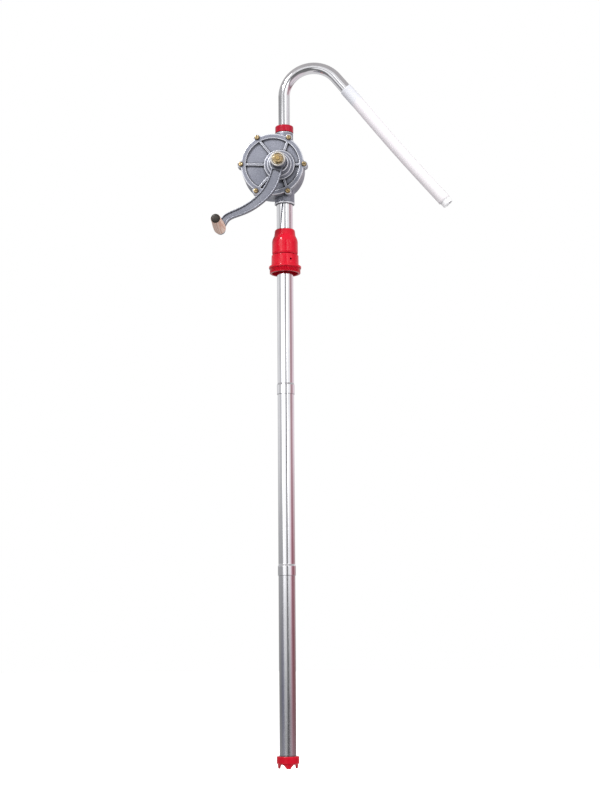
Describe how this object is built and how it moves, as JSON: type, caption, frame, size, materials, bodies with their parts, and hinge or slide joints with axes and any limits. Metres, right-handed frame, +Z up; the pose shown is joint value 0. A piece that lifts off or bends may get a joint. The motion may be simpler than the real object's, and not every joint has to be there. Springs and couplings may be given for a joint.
{
  "type": "drum barrel pump",
  "caption": "Hand-cranked rotary drum pump: round cast head, long steel suction tube with red bung adapter and strainer foot, bent spout and white delivery hose.",
  "frame": {"origin": "on the suction tube's axis, in the plane where the bung adapter's flange rests on the drum", "axes": "+Z up the suction tube towards the pump head, -Y towards the crank side, +X the way the spout points at rest"},
  "size_m": [0.4615, 0.185, 1.3772],
  "materials": {
    "cast_aluminium": "die-cast, fine sand-blasted skin with slight gloss",
    "steel_tube": "bright drawn steel tube, faint long draw marks",
    "red_plastic": "injection-moulded, glossy",
    "zinc_yellow": "yellow-passivated zinc plating",
    "dark_steel": "black-oxide steel, oiled",
    "turned_wood": "turned hardwood, thin varnish",
    "black_rubber": "moulded nitrile rubber",
    "gasket_sheet": "compressed gasket sheet",
    "bush_bronze": "sintered bronze",
    "rotor_iron": "machined casting",
    "vane_resin": "laminated phenolic",
    "spring_steel": "drawn spring wire",
    "hose_plastic": "soft translucent white plastic",
    "nozzle_plastic": "hard white plastic"
  },
  "bodies": {
    "bung_adapter": {"bung_body": "red_plastic", "bung_seal": "black_rubber"},
    "gland_nut": {"gland_nut": "red_plastic"},
    "pump": {"pump_casing": "cast_aluminium", "cover_gasket": "gasket_sheet", "front_cover": "cast_aluminium", "cover_screws": "zinc_yellow", "front_bush": "bush_bronze", "rear_bush": "bush_bronze", "shaft_seal": "black_rubber", "upper_tube": "steel_tube", "middle_tube": "steel_tube", "lower_tube": "steel_tube", "strainer_foot": "red_plastic", "outlet_seal": "black_rubber"},
    "crank": {"rotor": "rotor_iron", "vanes": "vane_resin", "vane_springs": "spring_steel", "crank_arm": "cast_aluminium", "crank_washer": "zinc_yellow", "crank_nut": "zinc_yellow", "grip_bolt": "dark_steel"},
    "grip": {"crank_grip": "turned_wood"},
    "outlet_nut": {"outlet_nut": "red_plastic"},
    "spout": {"spout_tube": "steel_tube"},
    "hose": {"spout_hose": "hose_plastic", "hose_tip": "nozzle_plastic"}
  },
  "joints": [
    {"name": "gland_nut_turn", "type": "hinge", "parent": "bung_adapter", "child": "gland_nut", "pos_m": [0, 0, 0.052], "axis": [0, 0, 1], "range_deg": [0, 360]},
    {"name": "pump_height", "type": "slide", "parent": "bung_adapter", "child": "pump", "axis": [0, 0, 1], "range_m": [-0.045, 0.21]},
    {"name": "crank_turn", "type": "hinge", "parent": "pump", "child": "crank", "pos_m": [-0.0079, -0.06, 0.2016], "axis": [0, 1, 0], "continuous": true},
    {"name": "grip_spin", "type": "hinge", "parent": "crank", "child": "grip", "pos_m": [-0.12, -0.11, 0.0648], "axis": [0, 1, 0], "continuous": true},
    {"name": "outlet_nut_turn", "type": "hinge", "parent": "pump", "child": "outlet_nut", "pos_m": [0, 0, 0.282], "axis": [0, 0, 1], "range_deg": [0, 360]},
    {"name": "spout_swing", "type": "hinge", "parent": "pump", "child": "spout", "pos_m": [0, 0, 0.2845], "axis": [0, 0, 1], "range_deg": [-10, 190]},
    {"name": "hose_twist", "type": "hinge", "parent": "spout", "child": "hose", "pos_m": [0.1456, 0, 0.33673], "axis": [0.6347, 0, -0.7727], "continuous": true}
  ]
}
